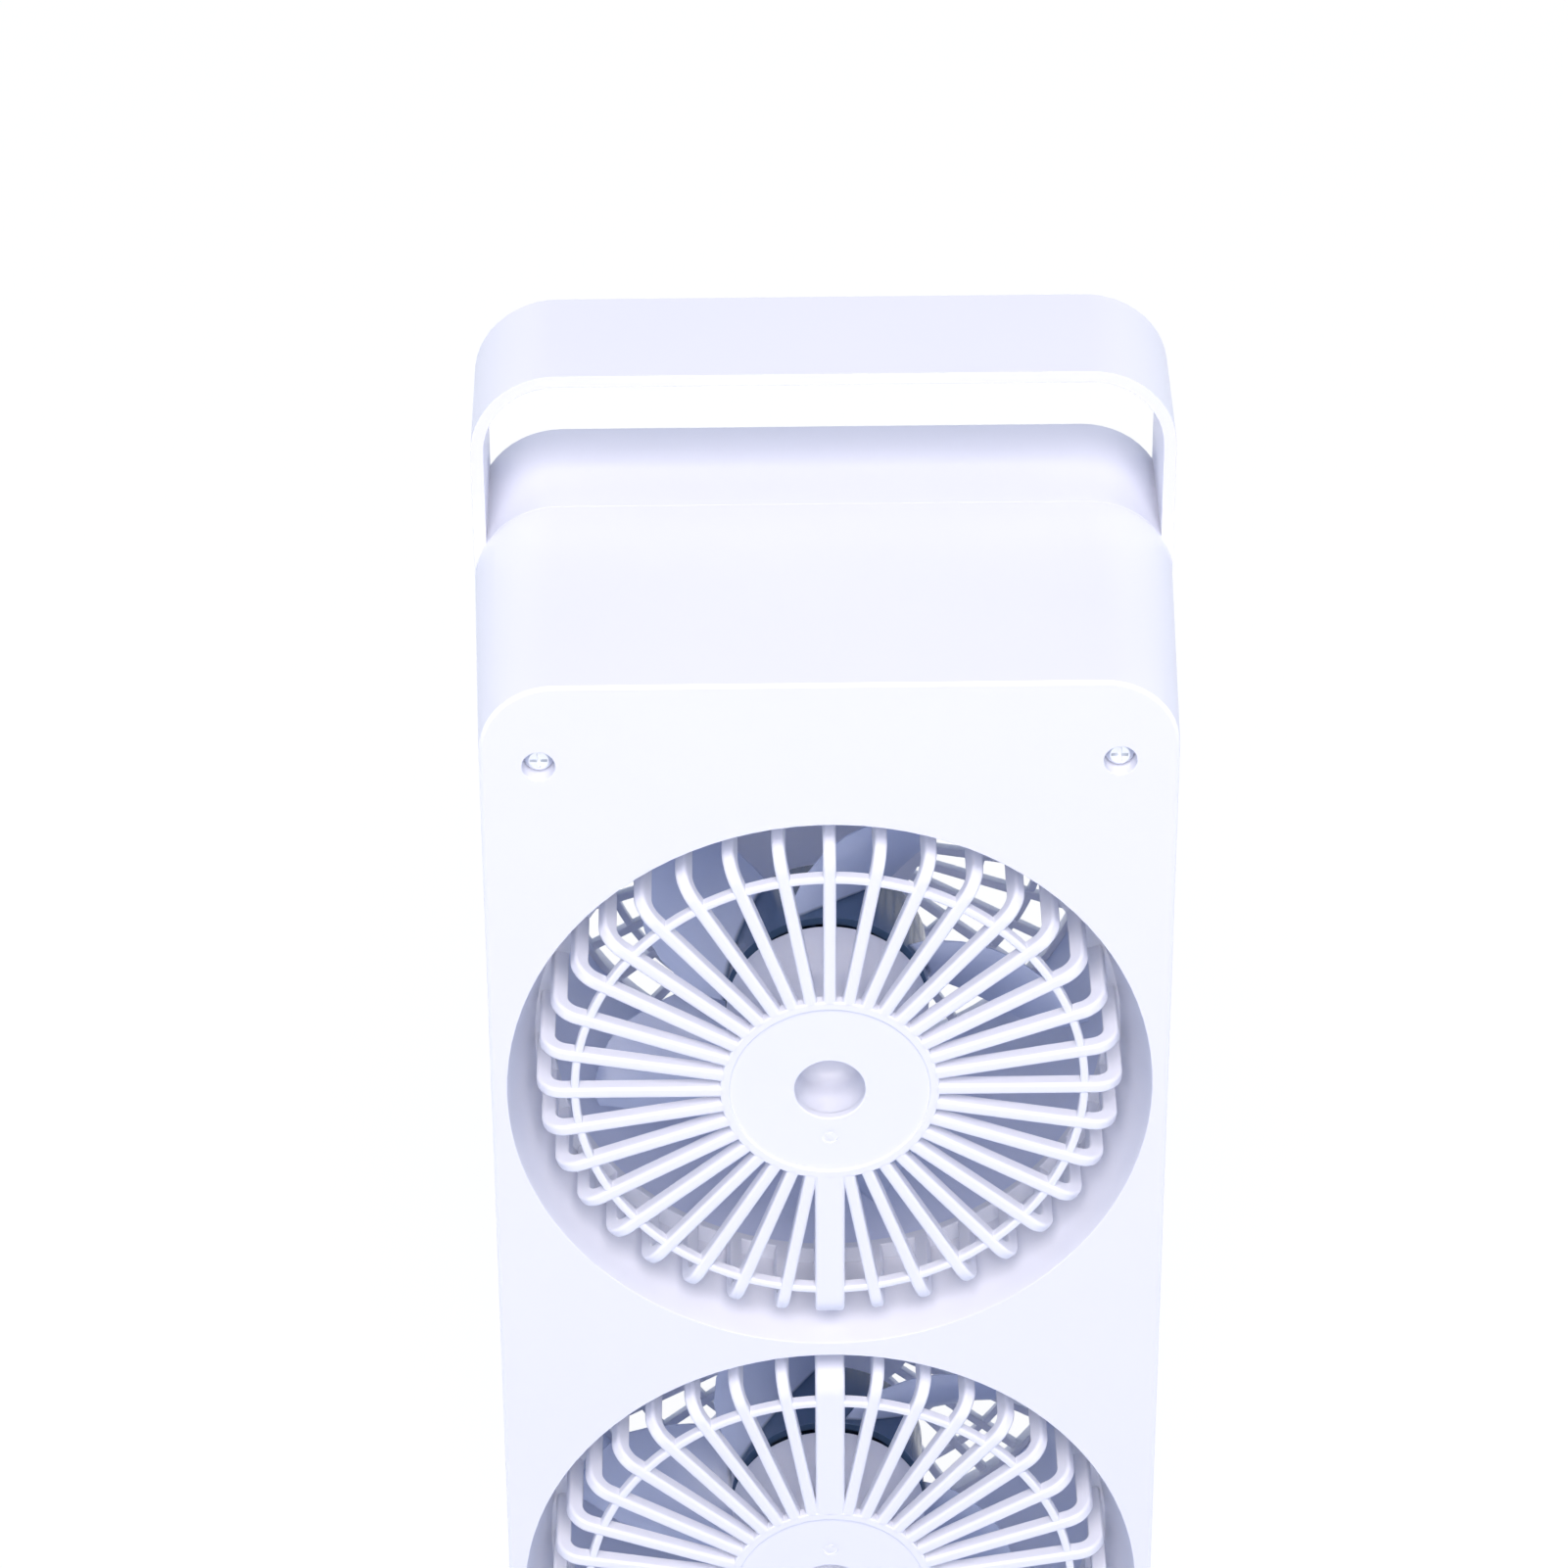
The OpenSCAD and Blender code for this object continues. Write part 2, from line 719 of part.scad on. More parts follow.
module stadium(w, h) {
    square([w - h, h], center = true);
    for (x = [-1, 1]) translate([x * (w - h) / 2, 0]) circle(d = h);
}

module power_board() {
    color("seagreen")
        translate([-power_board_w / 2, face_y + wall, inlet_z - socket_h / 2 - power_board_t])
            cube([power_board_w, power_board_l, power_board_t]);
}

module power_socket() {
    mouth_w = socket_w - 2 * socket_wall;
    mouth_h = socket_h - 2 * socket_wall;
    color("silver") on_face(0, inlet_z) translate([0, 0, socket_sink]) difference() {
        linear_extrude(socket_l) stadium(socket_w, socket_h);
        translate([0, 0, -cut]) linear_extrude(socket_mouth_l + cut) stadium(mouth_w, mouth_h);
    }
}

module socket_tongue() {
    color("dimgray") on_face(0, inlet_z)
        translate([-tongue_w / 2, -tongue_h / 2, socket_sink + socket_mouth_l - tongue_l])
            cube([tongue_w, tongue_h, tongue_l]);
}

module rubber_feet() {
    color("dimgray") for (x = [-foot_x, foot_x], depth = [rear_foot_depth, front_foot_depth])
        translate([x, face_y + depth, 0]) {
            cylinder(d1 = foot_d - 2 * foot_edge, d2 = foot_d, h = foot_edge);
            translate([0, 0, foot_edge]) cylinder(d = foot_d, h = body_z + foot_seat - foot_edge);
        }
}

// Leads: a wire is a tube swept along a smooth curve through the points of its route
function unit(v) = v / norm(v);
function curve_point(p, i, t) =
    let (
        a = p[max(i - 1, 0)],
        b = p[i],
        c = p[i + 1],
        d = p[min(i + 2, len(p) - 1)]
    )
    b + t * (c - a) / 2 + t ^ 2 * (a - 2.5 * b + 2 * c - d / 2)
        + t ^ 3 * (1.5 * (b - c) + (d - a) / 2);
function curve(p) = [
    for (i = [0:len(p) - 2], k = [0:lead_steps - 1]) curve_point(p, i, k / lead_steps),
    p[len(p) - 1]
];
function heading(c, i) = unit(c[min(i + 1, len(c) - 1)] - c[max(i - 1, 0)]);
function sides_along(c, i, sides) =
    i == len(c) ? sides
    : let (t = heading(c, i), n = sides[i - 1])
        sides_along(c, i + 1, concat(sides, [unit(n - (n * t) * t)]));

module wire(route) {
    c = curve(route);
    t0 = heading(c, 0);
    across = sides_along(c, 1, [unit(cross(t0, [t0[1], t0[2], t0[0] + 1]))]);
    n = len(c);
    points = [
        for (i = [0:n - 1], k = [0:lead_sides - 1])
            let (a = k * 360 / lead_sides, up = cross(heading(c, i), across[i]))
            c[i] + lead_d / 2 * (cos(a) * across[i] + sin(a) * up)
    ];
    skin = [
        for (i = [0:n - 2], k = [0:lead_sides - 1])
            let (
                a = i * lead_sides + k,
                b = i * lead_sides + (k + 1) % lead_sides,
                d = a + lead_sides,
                e = b + lead_sides
            )
            each [[a, d, b], [b, d, e]]
    ];
    ends = [
        [for (k = [0:lead_sides - 1]) k],
        [for (k = [lead_sides - 1:-1:0]) (n - 1) * lead_sides + k]
    ];
    polyhedron(points, concat(ends, skin));
}

// From a motor's terminal, under the wide rib, out at the notch and round the lower shroud to the
// board. Points are [x, height, depth]. The rib points up or down, the route goes left or right.
module motor_lead(fan_z, rib_dir, board_dir, offset) {
    x = offset * lead_pitch / 2;
    leg_r = rib_r - (lead_rib_t + lead_channel_floor) / 2;
    spoke_depth = (lead_rib_t + lead_channel_floor) / 2;
    notch_depth = ring_back + lead_notch_l / 2 + offset * lead_pitch / 2;
    wire_depth = lead_depth + offset * lead_pitch / 2;
    board_x = board_dir * (board_w / 3 + offset * lead_pitch);
    start_r = terminal_r + terminal_t + seat_gap;
    in_the_fan = [
        [offset * terminal_x, start_r, motor_back - terminal_l / 2],
        [offset * terminal_x, start_r + 2, motor_back - terminal_l / 2],
        [x * 2, start_r + 4, motor_back - 4],
        [x, cup_d / 2 - cup_t - 1.5, spoke_depth + 3],
        [x, cup_d / 2 - cup_t + 0.5, spoke_depth],
        [x, cup_d / 2 + 4, spoke_depth],
        [x, leg_r - 6, spoke_depth],
        [x, leg_r - 1, spoke_depth + 1],
        [x, leg_r, spoke_depth + 6],
        [x, leg_r, ring_back - 3],
        [x, leg_r + 1, ring_back + 1.2],
        [x, shroud_r, notch_depth],
        [x, lead_r - 1.2, notch_depth]
    ];
    around = [
        for (a = [74:-16:-54])
            [board_dir * lead_r * cos(a), lower_z + lead_r * sin(a), wire_depth]
    ];
    to_board = [
        [board_x, board_z + board_h, lead_depth + 12],
        [board_x, board_z + board_h / 3, board_back - 10],
        [board_x, board_z + board_h / 3, board_back - slide_gap]
    ];
    route = concat([for (p = in_the_fan) [p[0], fan_z + rib_dir * p[1], p[2]]], around, to_board);
    wire([for (p = route) [p[0], face_y + p[2], p[1]]]);
}

module supply_lead(side) {
    x = side * supply_x;
    on_board = inlet_z - socket_h / 2 + lead_d / 2 + shaft_gap;
    board_end = face_y + wall + power_board_l;
    wire([
        [x, board_end - solder_l, on_board],
        [x, board_end, on_board],
        [x, board_end + power_board_l, on_board - solder_l / 2],
        [x, face_y + board_back - 2 * solder_l, board_z],
        [x, face_y + board_back - slide_gap, board_z]
    ]);
}

rear_housing();
front_housing();
case_screws();
on_face(0, upper_z) rear_grille();  // upper_rear_grille
on_face(0, lower_z) rotate(180) rear_grille();  // lower_rear_grille
on_face(0, upper_z) front_grille();  // upper_front_grille
on_face(0, lower_z) rotate(180) front_grille();  // lower_front_grille
on_face(0, upper_z) fan_shroud();  // upper_fan_shroud
on_face(0, lower_z) rotate(180) fan_shroud();  // lower_fan_shroud
on_face(0, upper_z) motor_can();  // upper_motor_can
on_face(0, lower_z) rotate(180) motor_can();  // lower_motor_can
on_face(0, upper_z) motor_end_cap();  // upper_motor_end_cap
on_face(0, lower_z) rotate(180) motor_end_cap();  // lower_motor_end_cap
on_face(0, upper_z) motor_bush();  // upper_motor_bush
on_face(0, lower_z) rotate(180) motor_bush();  // lower_motor_bush
on_face(0, upper_z) rotate(upper_fan_turn) impeller();  // upper_impeller
on_face(0, lower_z) rotate(lower_fan_turn) impeller();  // lower_impeller
on_face(0, upper_z) motor_shaft();  // upper_motor_shaft
on_face(0, lower_z) rotate(180) motor_shaft();  // lower_motor_shaft
on_face(0, upper_z) motor_rotor();  // upper_motor_rotor
on_face(0, lower_z) rotate(180) motor_rotor();  // lower_motor_rotor
color("firebrick") motor_lead(upper_z, -1, -1, 1);  // upper_red_lead
color("black") motor_lead(upper_z, -1, -1, -1);  // upper_black_lead
color("firebrick") motor_lead(lower_z, 1, 1, 1);  // lower_red_lead
color("black") motor_lead(lower_z, 1, 1, -1);  // lower_black_lead
control_board();
board_screws();
push_switches();
on_face(-button_x, board_z) push_button();  // upper_fan_button
on_face(button_x, board_z) push_button();  // lower_fan_button
indicator_lens();
power_board();
power_socket();
socket_tongue();
color("firebrick") supply_lead(-1);  // supply_red_lead
color("black") supply_lead(1);  // supply_black_lead
rubber_feet();
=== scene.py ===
"""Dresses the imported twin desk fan: moulded white shell, ribbed intake grilles and what sits inside."""

import math

import bmesh
import bpy
from mathutils import Matrix, Vector


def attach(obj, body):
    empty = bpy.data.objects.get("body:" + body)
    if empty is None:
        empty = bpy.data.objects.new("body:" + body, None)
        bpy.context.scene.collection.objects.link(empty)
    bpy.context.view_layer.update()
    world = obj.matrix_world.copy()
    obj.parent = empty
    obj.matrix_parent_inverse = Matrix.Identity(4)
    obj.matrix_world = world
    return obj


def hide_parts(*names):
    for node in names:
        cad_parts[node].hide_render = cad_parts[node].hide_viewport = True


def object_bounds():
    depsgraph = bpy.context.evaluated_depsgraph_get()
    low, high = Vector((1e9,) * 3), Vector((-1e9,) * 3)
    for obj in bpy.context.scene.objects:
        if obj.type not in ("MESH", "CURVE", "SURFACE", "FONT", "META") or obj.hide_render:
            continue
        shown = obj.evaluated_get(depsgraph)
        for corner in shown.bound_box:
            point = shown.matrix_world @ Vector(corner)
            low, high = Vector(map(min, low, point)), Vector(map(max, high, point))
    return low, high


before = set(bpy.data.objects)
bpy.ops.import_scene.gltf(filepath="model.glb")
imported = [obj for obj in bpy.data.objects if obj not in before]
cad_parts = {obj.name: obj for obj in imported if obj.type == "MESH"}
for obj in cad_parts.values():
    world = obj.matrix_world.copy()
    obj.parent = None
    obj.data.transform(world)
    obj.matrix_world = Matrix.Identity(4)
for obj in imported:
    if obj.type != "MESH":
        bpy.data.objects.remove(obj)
cad_low, cad_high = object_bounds()
scene = bpy.context.scene
scene.view_settings.view_transform = "Standard"


# ---- Camera ----
# A long lens looks down on the intake side from above, as in the photograph. The body runs out of
# the bottom of the picture at the lower fan.
camera_data = bpy.data.cameras.new("camera")
camera_data.sensor_width = 36
camera_data.lens = 144.64
camera_data.clip_start = 0.05
camera_data.clip_end = 60
camera = bpy.data.objects.new("camera", camera_data)
azimuth, elevation, roll = (math.radians(angle) for angle in (0.499, 33.974, 0.335))
distance = 1.16944
look = Vector((
    math.sin(azimuth) * math.cos(elevation),
    math.cos(azimuth) * math.cos(elevation),
    -math.sin(elevation),
))
target = Vector((-0.00848, -0.04639, 0.29667))
camera.location = target - distance * look
camera.rotation_mode = "QUATERNION"
tilt = Matrix.Rotation(-roll, 4, "Z").to_quaternion()
camera.rotation_quaternion = look.to_track_quat("-Z", "Y") @ tilt
scene.collection.objects.link(camera)
scene.camera = camera


# ---- Studio ----
# A white sweep under soft boxes: the key in front and above, a weaker one overhead, one behind and
# one at each side. The floor is seen as white paper and still takes the fan's soft shadow.
class Socket:
    """One output in a node tree. Plus, minus or times on it adds a Math node."""

    def __init__(self, tree, output):
        self.tree = tree
        self.output = output

    def math(self, operation, first, second):
        return add_node(self.tree, "ShaderNodeMath", {"operation": operation}, {0: first, 1: second})

    def __add__(self, other):
        return self.math("ADD", self, other)

    def __sub__(self, other):
        return self.math("SUBTRACT", self, other)

    def __rsub__(self, other):
        return self.math("SUBTRACT", other, self)

    def __mul__(self, other):
        return self.math("MULTIPLY", self, other)

    __radd__ = __add__
    __rmul__ = __mul__


def add_node(tree, kind, settings, sockets, output=0):
    """Adds one node: its settings first, then a value or a link for each socket."""
    made = tree.nodes.new(kind)
    for name, value in settings.items():
        setattr(made, name, value)
    for name, value in sockets.items():
        if isinstance(value, Socket):
            tree.links.new(value.output, made.inputs[name])
        else:
            made.inputs[name].default_value = value
    return Socket(tree, made.outputs[output]) if made.outputs else None


def seen_directly(tree):
    """1 where the eye, a mirror or clear plastic sees the backdrop, 0 where it only lights the fan."""
    ray = add_node(tree, "ShaderNodeLightPath", {}, {})
    outputs = ray.output.node.outputs
    seen = Socket(tree, outputs["Is Camera Ray"]) + Socket(tree, outputs["Is Glossy Ray"])
    seen = seen + Socket(tree, outputs["Is Transmission Ray"])
    return add_node(tree, "ShaderNodeClamp", {}, {"Value": seen})


world = bpy.data.worlds.new("studio")
world.use_nodes = True
room = world.node_tree
room.nodes.clear()
air = add_node(room, "ShaderNodeBackground", {}, {"Color": (0.30, 0.56, 1.0, 1), "Strength": 0.28})
paper = add_node(room, "ShaderNodeBackground", {}, {"Color": (1, 1, 1, 1), "Strength": 1})
backdrop = add_node(room, "ShaderNodeMixShader", {}, {0: seen_directly(room), 1: air, 2: paper})
add_node(room, "ShaderNodeOutputWorld", {}, {"Surface": backdrop})
scene.world = world

reach = 8
floor_mesh = bpy.data.meshes.new("floor")
floor_mesh.from_pydata(
    [(-reach, -reach, 0), (reach, -reach, 0), (reach, reach, 0), (-reach, reach, 0)],
    [], [(0, 1, 2, 3)],
)
floor = bpy.data.objects.new("floor", floor_mesh)
scene.collection.objects.link(floor)
floor_paper = bpy.data.materials.new("floor_paper")
floor_paper.use_nodes = True
sheet = floor_paper.node_tree
sheet.nodes.clear()
matt = add_node(sheet, "ShaderNodeBsdfDiffuse", {}, {"Color": (0.56, 0.62, 0.76, 1)})
glow = add_node(sheet, "ShaderNodeEmission", {}, {"Color": (1, 1, 1, 1), "Strength": 1.09})
glow_share = seen_directly(sheet) * 0.86
both = add_node(sheet, "ShaderNodeMixShader", {}, {0: glow_share, 1: matt, 2: glow})
add_node(sheet, "ShaderNodeOutputMaterial", {}, {"Surface": both})
floor_mesh.materials.append(floor_paper)

# Each soft box: where it stands in metres, its width, its watts and its colour.
soft_boxes = {
    "key": ((0, -1.55, 1.8), 1.5, 61, (1.0, 0.905, 0.85)),
    "overhead": ((0, 0.1, 1.9), 0.9, 2.8, (1.0, 0.94, 0.88)),
    "back": ((0, 2.3, 0), 1.2, 42, (1.0, 0.95, 0.89)),
    "left": ((-2.2, 0.2, 0.35), 1.2, 23, (1.0, 0.96, 0.92)),
    "right": ((2.2, 0.2, 0.35), 1.2, 23, (1.0, 0.96, 0.92)),
}
part_middle = (cad_low + cad_high) / 2
for name, (stand, width, watts, colour) in soft_boxes.items():
    lamp = bpy.data.lights.new(name, "AREA")
    lamp.size = width
    lamp.energy = watts
    lamp.color = colour
    box = bpy.data.objects.new(name, lamp)
    box.location = stand
    box.rotation_mode = "QUATERNION"
    box.rotation_quaternion = (part_middle - Vector(stand)).to_track_quat("-Z", "Y")
    scene.collection.objects.link(box)


# ---- Housings ----
# Two white ABS mouldings. The rear one has the intake face and the bells, the front one the outlet
# side and the strap handle. The mould's spark-eroded surface leaves a fine satin grain.
def finish(name, **constants):
    """A new material with a Principled shader whose constant sockets are set."""
    material = bpy.data.materials.new(name)
    material.use_nodes = True
    shader = material.node_tree.nodes["Principled BSDF"]
    for socket, value in constants.items():
        shader.inputs[socket.replace("_", " ")].default_value = value
    return material, material.node_tree, shader


def own_point(tree):
    """The point on the piece, in metres, in its own frame."""
    coordinates = add_node(tree, "ShaderNodeTexCoord", {}, {})
    return Socket(tree, coordinates.output.node.outputs["Object"])


def grain(tree, scale, detail=2.0):
    """Even noise from 0 to 1, so many waves to the metre."""
    return add_node(
        tree, "ShaderNodeTexNoise", {},
        {"Vector": own_point(tree), "Scale": scale, "Detail": detail, "Roughness": 0.5},
    )


def tint(tree, factor, low, high):
    """A colour between two, by a factor from 0 to 1."""
    return add_node(
        tree, "ShaderNodeMix", {"data_type": "RGBA"}, {0: factor, 6: (*low, 1), 7: (*high, 1)}, 2
    )


def feed(shader, **links):
    """Links varying values to the shader's sockets."""
    for socket, value in links.items():
        value.tree.links.new(value.output, shader.inputs[socket.replace("_", " ")])


def relief(tree, height, strength, depth=0.00003):
    """The normal of a fine relief, so many metres deep."""
    return add_node(
        tree, "ShaderNodeBump", {}, {"Strength": strength, "Distance": depth, "Height": height}
    )


def moulded_plastic(name, low, high, roughness, texture):
    """Injection-moulded plastic: a fine eroded grain and faint flow clouding."""
    material, tree, shader = finish(name, IOR=1.5)
    flow = grain(tree, 22, 3)
    fine = grain(tree, 2600)
    feed(
        shader,
        Base_Color=tint(tree, flow, low, high),
        Roughness=flow * 0.06 + (roughness - 0.03),
        Normal=relief(tree, fine, texture),
    )
    return material


def softened(node, edge, material, body, sharp=38, middle=Vector()):
    """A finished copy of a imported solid, rounded a little on each edge of more than sharp degrees."""
    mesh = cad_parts[node].data.copy()
    mesh.name = node + "_finished"
    mesh.transform(Matrix.Translation(-middle))
    work = bmesh.new()
    work.from_mesh(mesh)
    bmesh.ops.remove_doubles(work, verts=work.verts, dist=1e-6)
    flat = math.radians(0.4)
    bmesh.ops.dissolve_limit(work, angle_limit=flat, verts=work.verts, edges=work.edges)
    work.to_mesh(mesh)
    work.free()
    if "custom_normal" in mesh.attributes:
        mesh.attributes.remove(mesh.attributes["custom_normal"])
    mesh.shade_smooth()
    mesh.materials.clear()
    mesh.materials.append(material)
    piece = bpy.data.objects.new(node + "_finished", mesh)
    piece.location = middle
    scene.collection.objects.link(piece)
    bevel = piece.modifiers.new("edge", "BEVEL")
    bevel.width = edge
    bevel.segments = 2
    bevel.limit_method = "ANGLE"
    bevel.angle_limit = math.radians(sharp)
    bevel.use_clamp_overlap = True
    level = piece.modifiers.new("level", "WEIGHTED_NORMAL")
    level.keep_sharp = True
    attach(piece, body)
    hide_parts(node)


white_abs = moulded_plastic("white_abs", (0.775, 0.80, 0.89), (0.80, 0.82, 0.905), 0.42, 0.25)
softened("rear_housing", 0.0004, white_abs, "case")
softened("front_housing", 0.0005, white_abs, "case")


# ---- Case screws ----
# Four pan-head screws with cross slots, cold-headed steel with a bright zinc plate. They go in from
# the intake face, through the rear housing's bosses into the front housing's posts.
def bare_metal(name, low, high, roughness, stretch, texture=0.15):
    """Metal with the fine marks of its making, drawn out by stretch along each axis."""
    material, tree, shader = finish(name, Metallic=1.0)
    drawn = add_node(
        tree, "ShaderNodeVectorMath", {"operation": "MULTIPLY"}, {0: own_point(tree), 1: stretch}
    )
    marks = add_node(
        tree, "ShaderNodeTexNoise", {},
        {"Vector": drawn, "Scale": 900.0, "Detail": 3.0, "Roughness": 0.55},
    )
    patches = grain(tree, 140, 3)
    feed(
        shader,
        Base_Color=tint(tree, patches, low, high),
        Roughness=marks * 0.18 + (roughness - 0.09),
        Normal=relief(tree, marks, texture, 0.00002),
    )
    return material


zinc = bare_metal("zinc_plate", (0.84, 0.88, 0.95), (0.90, 0.93, 0.98), 0.5, (1, 0.3, 1))
softened("case_screws", 0.00015, zinc, "case", 30)


# ---- Intake grilles ----
# One ABS moulding for each fan: a hub disc with the motor cup behind it, and ribs that run out flat
# and turn down into the bell. Each rib's edges are rounded off, and the wide one hides the leads.
def rounded(corners):
    """A closed outline in mm from (x, y, radius) corners, all of them right angles."""
    points = []
    for i, (x, y, radius) in enumerate(corners):
        corner = Vector((x, y))
        before = (Vector(corners[i - 1][:2]) - corner).normalized()
        after = (Vector(corners[(i + 1) % len(corners)][:2]) - corner).normalized()
        steps = 0 if radius == 0 else 3 if radius < 1 else 8
        for step in range(steps + 1):
            turn = math.pi / 2 * step / max(steps, 1)
            back, on = radius * (1 - math.sin(turn)), radius * (1 - math.cos(turn))
            points.append(corner + before * back + after * on)
    return points


def skin(shape, rings, closed):
    """Faces between rings of points in mm. If it isn't closed, the first and last ring are filled."""
    loops = [[shape.verts.new(0.001 * point) for point in ring] for ring in rings]
    count = len(loops[0])
    for i in range(len(loops) if closed else len(loops) - 1):
        this, following = loops[i], loops[(i + 1) % len(loops)]
        for k in range(count):
            n = (k + 1) % count
            shape.faces.new((this[k], this[n], following[n], following[k]))
    if not closed:
        shape.faces.new(loops[0])
        shape.faces.new(list(reversed(loops[-1])))


def turned(shape, outline, steps=144, centre=0):
    """A ring round the fan's axis, or round a point above it, from (radius, depth) points."""
    rings = []
    for step in range(steps):
        turn = 2 * math.pi * step / steps
        rings.append([
            Vector((radius * math.cos(turn), depth, centre + radius * math.sin(turn)))
            for radius, depth in outline
        ])
    skin(shape, rings, True)


def swept(shape, outline, path, degrees):
    """A bar at an angle round the axis: its (side, inward) outline carried along a path.

    The path is made of (radius, depth) points, each with the direction that the bar's top faces.
    """
    out = Vector((math.cos(math.radians(degrees)), 0, math.sin(math.radians(degrees))))
    side = Vector((-out.z, 0, out.x))
    skin(shape, [
        [
            (spot.x - outward.x * inward) * out
            + Vector((0, spot.y - outward.y * inward, 0)) + across * side
            for across, inward in outline
        ]
        for spot, outward in path
    ], False)


def cut_away(solid, tool):
    """Cuts the tool's solids out of a solid."""
    pieces = []
    for part in (solid, tool):
        bmesh.ops.recalc_face_normals(part, faces=part.faces)
        mesh = bpy.data.meshes.new("cut")
        part.to_mesh(mesh)
        pieces.append(bpy.data.objects.new("cut", mesh))
        scene.collection.objects.link(pieces[-1])
    cut = pieces[0].modifiers.new("cut", "BOOLEAN")
    cut.object = pieces[1]
    cut.solver = "EXACT"
    view = bpy.context.evaluated_depsgraph_get()
    result = bpy.data.meshes.new_from_object(pieces[0].evaluated_get(view))
    solid.clear()
    solid.from_mesh(result)
    for piece in pieces:
        bpy.data.meshes.remove(piece.data)
    bpy.data.meshes.remove(result)
    tool.free()


def set_in_place(name, shape, middle, material, body, node):
    """Makes the shape a piece of its own on a body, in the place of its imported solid."""
    bmesh.ops.recalc_face_normals(shape, faces=shape.faces)
    mesh = bpy.data.meshes.new(name)
    shape.to_mesh(mesh)
    shape.free()
    mesh.shade_smooth()
    mesh.set_sharp_from_angle(angle=math.radians(40))
    mesh.materials.append(material)
    piece = bpy.data.objects.new(name, mesh)
    piece.location = middle
    scene.collection.objects.link(piece)
    level = piece.modifiers.new("level", "WEIGHTED_NORMAL")
    level.keep_sharp = True
    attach(piece, body)
    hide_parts(node)


face_y = -0.0454
heads = {"upper": Vector((0, face_y, 0.224605)), "lower": Vector((0, face_y, 0.097605))}
grille_abs = moulded_plastic("grille_abs", (0.785, 0.81, 0.90), (0.805, 0.83, 0.915), 0.34, 0.15)

# The grilles' sizes are in mm: radii from the fan's axis, and depths from the intake face.
ahead = Vector((0, -1))
disc_r, disc_back, panel_r, panel_depth = 21.1, 2.4, 19.3, 0.5
pocket_r, pocket_depth, pocket_outer_r, pocket_back = 6.8, 13.4, 8.3, 14.5
cup_r, cup_inner_r, cup_back = 19.8, 18, 27.2
rib_r, shoulder_r, base_front, base_back = 56.5, 5.2, 19.2, 21.2
base_inner_r, base_outer_r = 53.5, 60
near_axis = 0.05  # a turned disc stops this close to the axis, so none of its faces is a sliver
bend_middle = Vector((rib_r - shoulder_r, shoulder_r))
bend_steps = 10
rib_path = [(Vector((20.7, 0)), ahead)]
for step in range(bend_steps + 1):
    turn = math.radians(90 * step / bend_steps)
    outward = Vector((math.sin(turn), -math.cos(turn)))
    rib_path.append((bend_middle + shoulder_r * outward, outward))
rib_path.append((Vector((rib_r, base_front + 1.6)), Vector((1, 0))))
rib_bar = rounded([(-1.25, 0, 0.7), (1.25, 0, 0.7), (1.25, 3, 0.4), (-1.25, 3, 0.4)])
channel = 1.55
lead_rib_bar = rounded([
    (-2.95, 0, 0.8), (2.95, 0, 0.8), (2.95, 4.4, 0.3), (channel, 4.4, 0), (channel, 1.5, 0),
    (-channel, 1.5, 0), (-channel, 4.4, 0), (-2.95, 4.4, 0.3),
])
web_path = [(Vector((r, 1.4)), ahead) for r in (13.05, 18.75)]
web_bar = rounded([(-0.8, 0, 0), (0.8, 0, 0), (0.8, 21.6, 0), (-0.8, 21.6, 0)])
